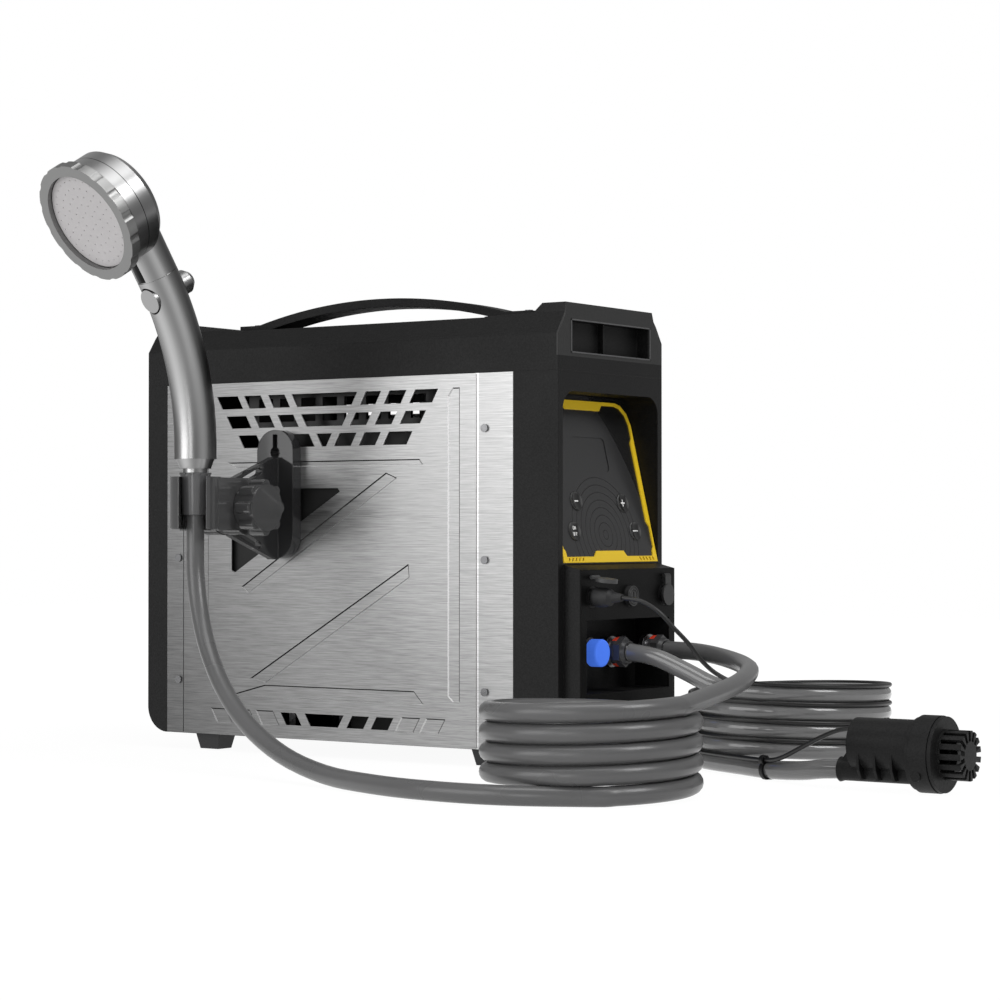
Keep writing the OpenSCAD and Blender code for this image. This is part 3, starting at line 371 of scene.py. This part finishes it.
MATERIALS = {
    "black_abs": grained("black_abs"),
    "grey_abs": plastic("grey_abs", (0.05, 0.05, 0.053), 0.42),
    "steel_panel": pressed_steel(),
    "chassis_steel": plastic("chassis_steel", (0.006, 0.006, 0.006), 0.7),
    # Painted light: the yellow trim glows a little, though it is no lamp.
    "yellow_trim": plastic("yellow_trim", (0.92, 0.62, 0.025), 0.4, 500.0, 0.03, 0.0, painted_glow=0.16),
    # Painted light: the blue knob glows so that it stays a flat bright blue, though it is no lamp.
    "blue_knob": plastic("blue_knob", (0.07, 0.21, 0.95), 0.7, 400.0, 0.03, painted_glow=0.45),
    "zinc": metal("zinc", (0.55, 0.55, 0.56), 0.3, scale=300.0),
    "brass": metal("brass", (0.70, 0.50, 0.20), 0.3, scale=300.0),
    "aluminium": metal("aluminium", (0.62, 0.62, 0.63), 0.4, scale=400.0, bump=0.2),
    "green_board": plastic("green_board", (0.02, 0.16, 0.06), 0.4),
    "rubber": plastic("rubber", (0.016, 0.016, 0.017), 0.6, 1200.0, 0.3),
    "hose_grey": plastic("hose_grey", (0.125, 0.125, 0.126), 0.30, 300.0, 0.04, 0.0),
    "cable_black": plastic("cable_black", (0.010, 0.010, 0.010), 0.4, 600.0, 0.05, 0.0),
    "satin_nickel": nickel_with_painted_stripes("satin_nickel")[0],
    "head_nickel": head_plate(),
    # Painted light: the lid's upper front is a paler grey, as the light falls on it.
    "lid_abs": black_grain("lid_abs", (("X", 0.1935), ("Z", 0.297)), 0.030, 0.3),
    # Painted shade: the console's front face is darker than the plastic.
    "shell_abs": black_grain("shell_abs", (("X", 0.2088),), 0.004, 0.1),
    # Painted highlight: a paler copy of smoke for the holder's arm, standing in for its highlights.
    "smoke_pale": plastic("smoke_pale", (0.075, 0.075, 0.076), 0.14, 120.0, 0.03, 0.0012, coat=0.5, spec=0.6),
    # Painted highlight: the pale grey of the strips along the pocket's rim.
    "rim_highlight_grey": plastic("rim_highlight_grey", (0.10, 0.10, 0.102), 0.4, 300.0, 0.0, 0.0),
    "flap_rubber": plastic("flap_rubber", (0.065, 0.065, 0.066), 0.5, 900.0, 0.2),
    "cap_rubber": plastic("cap_rubber", (0.026, 0.026, 0.026), 0.45, 900.0, 0.2),
    "ring_nickel": metal("ring_nickel", (0.26, 0.26, 0.258), 0.34, scale=9.0, bump=0.0, vary=0.02, edge=0),
    # Painted shade: near-black metal for the parts inside the casing, standing in for the shade behind the vents.
    "inner_shade_metal": metal("inner_shade_metal", (0.045, 0.045, 0.045), 0.4, scale=200.0),
    "spray_face": plastic("spray_face", (0.62, 0.60, 0.605), 0.45, 700.0, 0.15),
    "smoke": plastic("smoke", (0.046, 0.046, 0.047), 0.14, 120.0, 0.03, 0.0012, coat=0.5, spec=0.6),
    "smoke_dark": plastic("smoke_dark", (0.028, 0.028, 0.029), 0.16, 120.0, 0.03, 0.0012, coat=0.3, spec=0.5),
    "panel_film": printed_film(),
    "dish": dish_face(),
    "gunmetal": metal("gunmetal", (0.20, 0.20, 0.205), 0.28, scale=200.0, bump=0.02),
    "sleeve_red": collar(),
    # Painted light: the white print glows a little, though it is no lamp.
    "print_white": plastic("print_white", (0.75, 0.75, 0.74), 0.5, 300.0, 0.0, 0.0, painted_glow=0.25),
    "nut_grey": plastic("nut_grey", (0.10, 0.10, 0.102), 0.25, 200.0, 0.03, 0.0006, coat=0.3),
    "coil_clear": plastic("coil_clear", (0.20, 0.20, 0.20), 0.16, 300.0, 0.04, 0.0, coat=0.4),
}

# Nodes that don't take the material of their slot's name.
LOOK = {
    "shower_grip": "satin_nickel", "shower_head": "head_nickel", "face_ring": "ring_nickel",
    "mode_lever": "satin_nickel", "stop_valve": "satin_nickel", "spray_plate": "spray_face",
    "cone_nut": "nut_grey",
    "holder_arm": "smoke_pale", "holder_knob": "smoke", "holder_bracket": "smoke_dark",
    "control_panel": "panel_film", "button_minus": "dish", "button_plus": "dish",
    "button_power": "dish", "button_mode": "dish",
    "cold_sleeve": "sleeve_red", "hot_sleeve": "sleeve_red",
    "cold_fitting": "gunmetal", "hot_fitting": "gunmetal", "gas_inlet": "gunmetal", "screws": "gunmetal",
    "top_cover": "lid_abs", "front_shell": "shell_abs",
    "pump_flap": "flap_rubber", "dc_flap": "cap_rubber", "fuse_cap": "cap_rubber",
    # The parts inside the casing take the painted-shade metal.
    "heat_exchanger": "inner_shade_metal", "exhaust_hood": "inner_shade_metal", "blower_housing": "inner_shade_metal", "water_pipes": "zinc",
}
SLOT = {s["node"]: s["material_slot"] for s in frame["record"]["subparts"]}

# Nodes with mostly flat faces, which stay flat shaded.
BOXY = {"control_panel", "control_bezel", "panel_near", "panel_far", "chassis", "top_cover", "front_shell",
        "socket_row", "feet", "holder_bracket", "heat_exchanger", "burner", "exhaust_hood"}
SHARP = math.radians(28)

for name, obj in NODES.items():
    mat = MATERIALS[LOOK.get(name, SLOT[name])]
    if not obj.material_slots:
        obj.data.materials.append(mat)
    for s in obj.material_slots:
        s.material = mat
    round_one = name not in BOXY
    obj.data.polygons.foreach_set("use_smooth", [round_one] * len(obj.data.polygons))
    if round_one:
        obj.data.set_sharp_from_angle(angle=SHARP)


def link(ob):
    bpy.context.scene.collection.objects.link(ob)
    return ob


# ---------------------------------------------------------------- cords
def catmull(points, k):
    """A smooth line through the points, k steps from each to the next."""
    out = []
    for i in range(len(points) - 1):
        a = points[max(i - 1, 0)]
        b, c = points[i], points[i + 1]
        d = points[min(i + 2, len(points) - 1)]
        for j in range(k):
            t = j / k
            out.append(0.5 * (2 * b + (c - a) * t + (2 * a - 5 * b + 4 * c - d) * t * t
                              + (3 * b - a - 3 * c + d) * t ** 3))
    out.append(points[-1])
    return out


def coil(center, radius, angles, heights, step):
    """Points round a coil, from its first angle and height to its last: millimetres and degrees in."""
    n = max(2, round(abs(angles[1] - angles[0]) / step))
    out = []
    for i in range(n + 1):
        u = i / n
        a = math.radians(angles[0] + (angles[1] - angles[0]) * u)
        z = heights[0] + (heights[1] - heights[0]) * u
        out.append(mm(center[0] + radius * math.cos(a), center[1] + radius * math.sin(a), z))
    return out


def cord_curve(name, points, diameter, mat, body=None):
    """A round tube along the points; rides the body, if one is given."""
    cu = bpy.data.curves.new(name, "CURVE")
    cu.dimensions = "3D"
    cu.bevel_depth = diameter / 2
    cu.bevel_resolution = 6
    cu.use_fill_caps = True
    sp = cu.splines.new("POLY")
    sp.points.add(len(points) - 1)
    for p, q in zip(sp.points, points):
        p.co = (*q, 1)
    sp.use_smooth = True
    ob = link(bpy.data.objects.new(name, cu))
    cu.materials.append(mat)
    if body:
        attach(ob, body)
    return ob


def as_mesh(ob):
    """The curve's tube as a mesh piece of the same name."""
    name, cu = ob.name, ob.data
    bpy.context.view_layer.update()
    me = bpy.data.meshes.new_from_object(ob.evaluated_get(bpy.context.evaluated_depsgraph_get()))
    bpy.data.objects.remove(ob)
    bpy.data.curves.remove(cu)
    new = link(bpy.data.objects.new(name, me))
    me.polygons.foreach_set("use_smooth", [True] * len(me.polygons))
    return new


HOSE_D = 13 * MM
CABLE_D = 3.2 * MM
COIL_STEP = 12  # degrees between a coil's points
SMOOTH = 4  # steps between two points of a path

# Each coil: centre, radius, angles and heights, first and last.
COIL1 = ((308, -207), 66, (1450, -56), (61.1, 6.5))
COIL2 = ((313, 55), 67, (-95, 1320), (58, 6.6))
CABLE_COIL_R = 72.1
CABLE_LIFT = 6.55  # the cable lies on the hose's outer shoulder

RISE = [mm(*p) for p in [
    (221, 36, 83), (240, 36, 82.6), (259, 33, 81), (283, 19, 78.5), (311, -9, 76), (338, -51, 74),
    (359, -109, 68.5)]]
DROP = [mm(*p) for p in [
    (292, -286, 6.5), (235, -288, 6.5), (180, -274, 6.5), (125, -252, 8), (75, -235, 17.5),
    (32, -220, 35), (-2, -206, 58), (-28, -193, 85), (-45, -183, 113), (-54, -177, 140),
    (-57, -174, 165), (-57, -174, 183)]]
RUN = [mm(*p) for p in [(217, -10, 83), (238, -10, 80), (262, -9.5, 71), (284, -10, 62), (300, -11.2, 58.6)]]
TAIL = [mm(*p) for p in [(314, -21, 6.5), (348, -40, 6.7), (380, -55, 8.8), (400, -62.5, 11.5), (415, -64, 12.5)]]
CABLE_IN = [mm(*p) for p in [
    (235, -50, 123.7), (250, -49, 121.5), (262, -45, 114), (270, -40, 104), (279, -33, 92),
    (284, -27, 82), (289, -20.5, 74), (296, -17.2, 68.5)]]
CABLE_OUT = [mm(*p) for p in [
    (311, -26.5, 13.2), (345.8, -44.1, 13.6), (362, -51.5, 16), (380, -56.5, 24),
    (398, -60.5, 32.5), (414, -63.5, 38.5), (427, -64, 40)]]

shower_path = catmull(RISE + coil(*COIL1, COIL_STEP) + DROP, SMOOTH)
shower_hose = as_mesh(cord_curve("shower_hose", shower_path, HOSE_D, MATERIALS["hose_grey"]))
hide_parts("shower_hose_rise", "shower_hose_coil", "shower_hose_drop")
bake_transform(shower_hose)

pump_path = catmull(RUN + coil(*COIL2, COIL_STEP) + TAIL, SMOOTH)
pump_hose = cord_curve("pump_hose", pump_path, HOSE_D, MATERIALS["coil_clear"], "heater")
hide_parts("pump_hose_run", "pump_hose_coil", "pump_hose_tail")

center, _, angles, heights = COIL2
cable_coil = coil(center, CABLE_COIL_R, angles, [z + CABLE_LIFT for z in heights], COIL_STEP)
cable_path = catmull(CABLE_IN + cable_coil + CABLE_OUT, SMOOTH)
pump_cable = cord_curve("pump_cord", cable_path, CABLE_D, MATERIALS["cable_black"], "heater")
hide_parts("pump_cable")

# ---------------------------------------------------------------- signs, and the painted highlight on the pocket's rim
PANEL = Matrix.Translation(mm(*PANEL_FOOT)) @ Matrix.Rotation(-PANEL_LEAN, 4, "Y")
FRONT = Matrix.Translation(mm(195, 0, 0))


def flat(name, outlines, mat, body, lift, place, depth):
    """Thin shapes as one piece: lists of (y, w) points on a plane, raised by a number or a function."""
    bm = bmesh.new()
    for pts in outlines:
        up = [lift(y, w) if callable(lift) else lift for y, w in pts]
        lo = [bm.verts.new(place @ mm(u, y, w)) for u, (y, w) in zip(up, pts)]
        hi = [bm.verts.new(place @ mm(u + depth, y, w)) for u, (y, w) in zip(up, pts)]
        bm.faces.new(hi)
        bm.faces.new(list(reversed(lo)))
        for i in range(len(pts)):
            j = (i + 1) % len(pts)
            bm.faces.new((lo[i], lo[j], hi[j], hi[i]))
    bmesh.ops.recalc_face_normals(bm, faces=bm.faces)
    me = bpy.data.meshes.new(name)
    bm.to_mesh(me)
    bm.free()
    ob = link(bpy.data.objects.new(name, me))
    me.materials.append(mat)
    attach(ob, body)


def bar(y0, w0, y1, w1, t):
    """A straight stroke between two points, t wide."""
    d = math.hypot(y1 - y0, w1 - w0)
    ny, nw = -(w1 - w0) / d * t / 2, (y1 - y0) / d * t / 2
    return [(y0 + ny, w0 + nw), (y1 + ny, w1 + nw), (y1 - ny, w1 - nw), (y0 - ny, w0 - nw)]


# Strokes of the capitals, in shares of a letter's width and height: y0, w0, y1, w1.
CAPITALS = {"O": [(0, 0, 0, 1), (1, 0, 1, 1), (0, 0, 1, 0), (0, 1, 1, 1)],
            "N": [(0, 0, 0, 1), (1, 0, 1, 1), (0, 1, 1, 0)],
            "F": [(0, 0, 0, 1), (0, 1, 1, 1), (0, 0.55, 0.8, 0.55)]}


def letters(word, y, w, h, t):
    """Straight-stroke capitals centred on (y, w), h high, with strokes t wide."""
    a = h * 0.62
    out = []
    x = y - (len(word) * a * 1.45 - a * 0.45) / 2
    for c in word:
        for p in CAPITALS[c]:
            out.append(bar(x + p[0] * a, w - h / 2 + p[1] * h, x + p[2] * a, w - h / 2 + p[3] * h, t))
        x += a * 1.45
    return out


DISH_R = 21  # radius of the buttons' hollow faces
DISH_LIFT = 0.13


def dished(cy, cw):
    """Height over a button's dished face, for signs printed on it."""
    return lambda y, w: DISH_LIFT + DISH_R - math.sqrt(DISH_R ** 2 - (y - cy) ** 2 - (w - cw) ** 2)


# Each button's body: its centre and the strokes of its sign.
SIGNS = {
    "minus": (-32, 47.2, [bar(-34.4, 47.2, -29.6, 47.2, 1.1)]),
    "plus": (32, 46.2, [bar(29.4, 46.2, 34.6, 46.2, 1.1), bar(32, 46.8, 32, 48.8, 1.1),
                        bar(32, 45.6, 32, 43.6, 1.1)]),
    "power": (-42, 24.8, letters("ON", -42, 27.1, 2.3, 0.5) + letters("OFF", -42, 22.5, 2.3, 0.5)),
    "mode": (42, 24.8, [bar(38.6, 24.8, 45.4, 24.8, 0.9)]),
}
for key, (cy, cw, strokes) in SIGNS.items():
    flat("sign_" + key, strokes, MATERIALS["print_white"], key, dished(cy, cw), PANEL, 0.06)

# Painted highlight: pale grey strips along the pocket's edges stand in for the light on its bevel.
RIM_HIGHLIGHT = [bar(-55.2, 300.1, 55.2, 300.1, 1.0), bar(-55.2, 323.5, 55.2, 323.5, 1.0),
       bar(-54.6, 299.6, -54.6, 324.0, 1.2), bar(54.6, 299.6, 54.6, 324.0, 1.2)]
flat("pocket_rim_highlight", RIM_HIGHLIGHT, MATERIALS["rim_highlight_grey"], "heater", 0.0, FRONT, 0.3)


# ---------------------------------------------------------------- floor, light and camera
FLOOR_HALF = 3
FLOOR_DROP = 0.0005
SHADOW_SHARE = 0.1  # how much of the floor's own shading shows at the middle; it ends at 1 m
GLOSS_SHARE = 0.25  # how much of the white background metal and gloss show


def rays(t):
    """The outputs of Light Path: camera, glossy and transmission rays."""
    p = t.nodes.new("ShaderNodeLightPath")
    return [p.outputs["Is %s Ray" % k] for k in ("Camera", "Glossy", "Transmission")]


def choose(t, fac, other, seen, output):
    """Links the second shader where the factor is 1, the first elsewhere."""
    x = t.nodes.new("ShaderNodeMixShader")
    t.links.new(fac, x.inputs["Fac"])
    t.links.new(other, x.inputs[1])
    t.links.new(seen, x.inputs[2])
    t.links.new(x.outputs["Shader"], t.nodes[output].inputs["Surface"])


def floor():
    """A white floor that keeps a faint shadow near the object."""
    h = FLOOR_HALF
    me = bpy.data.meshes.new("floor")
    me.from_pydata([(-h, -h, 0), (h, -h, 0), (h, h, 0), (-h, h, 0)], [], [(0, 1, 2, 3)])
    m, t, b, co = material("white_floor", (0.8, 0.8, 0.8), 0.9)
    white = t.nodes.new("ShaderNodeEmission")
    white.inputs["Strength"].default_value = 1.04
    away = t.nodes.new("ShaderNodeVectorMath")
    away.operation = "LENGTH"
    t.links.new(co, away.inputs[0])
    plain = calc(t, "ADD", 1 - SHADOW_SHARE, calc(t, "MULTIPLY", away.outputs["Value"], SHADOW_SHARE))
    camera_ray, glossy_ray, through_ray = rays(t)
    seen = calc(t, "MAXIMUM", calc(t, "MAXIMUM", camera_ray, glossy_ray), through_ray)
    seen = calc(t, "MULTIPLY", seen, calc(t, "MINIMUM", plain, 1.0))
    choose(t, seen, b.outputs["BSDF"], white.outputs["Emission"], "Material Output")
    me.materials.append(m)
    ob = link(bpy.data.objects.new("floor", me))
    ob.location.z = -FLOOR_DROP


def world():
    """White where the camera sees it, a soft grey as light."""
    w = bpy.data.worlds.new("studio")
    bpy.context.scene.world = w
    w.use_nodes = True
    t = w.node_tree
    white = t.nodes["Background"]
    white.inputs["Color"].default_value = (1, 1, 1, 1)
    white.inputs["Strength"].default_value = 1.0
    soft = t.nodes.new("ShaderNodeBackground")
    soft.inputs["Color"].default_value = (0.5, 0.5, 0.5, 1)
    soft.inputs["Strength"].default_value = 0.30
    camera_ray, glossy_ray, through_ray = rays(t)
    shine = calc(t, "MULTIPLY", glossy_ray, GLOSS_SHARE)
    seen = calc(t, "MAXIMUM", calc(t, "MAXIMUM", camera_ray, through_ray), shine)
    choose(t, seen, soft.outputs["Background"], white.outputs["Background"], "World Output")


def lamp(name, place, target, size, power):
    li = bpy.data.lights.new(name, "AREA")
    li.shape = "RECTANGLE"
    li.size, li.size_y = size
    li.energy = power
    ob = link(bpy.data.objects.new(name, li))
    ob.location = place
    ob.rotation_euler = (Vector(target) - Vector(place)).to_track_quat("-Z", "Y").to_euler()


def camera():
    """The photo's view, fitted to points of the object."""
    ca = bpy.data.cameras.new("camera")
    ca.lens = 93.55
    ca.sensor_width = 36
    ca.clip_end = 20
    ob = link(bpy.data.objects.new("camera", ca))
    ob.location = mm(1206.0, -1625.8, 171.4)
    ob.rotation_euler = Vector((-0.564, 0.8257, 0.0118)).to_track_quat("-Z", "Y").to_euler()
    bpy.context.scene.camera = ob


floor()
world()
camera()
lamp("left_front", (-0.85, -2.25, 0.8), (0.0, -0.1, 0.2), (1.7, 1.4), 19)
lamp("top", (0.3, -0.5, 2.0), (0.15, -0.1, 0.1), (1.6, 0.9), 13)
lamp("low_front", (0.55, -2.2, 0.3), (0.0, -0.1, 0.2), (0.5, 0.8), 4)
lamp("front_high", (1.6, -0.2, 1.5), (0.2, 0.0, 0.2), (0.8, 0.8), 14)
sc = bpy.context.scene
sc.view_settings.view_transform = "Standard"
sc.view_settings.look = "None"
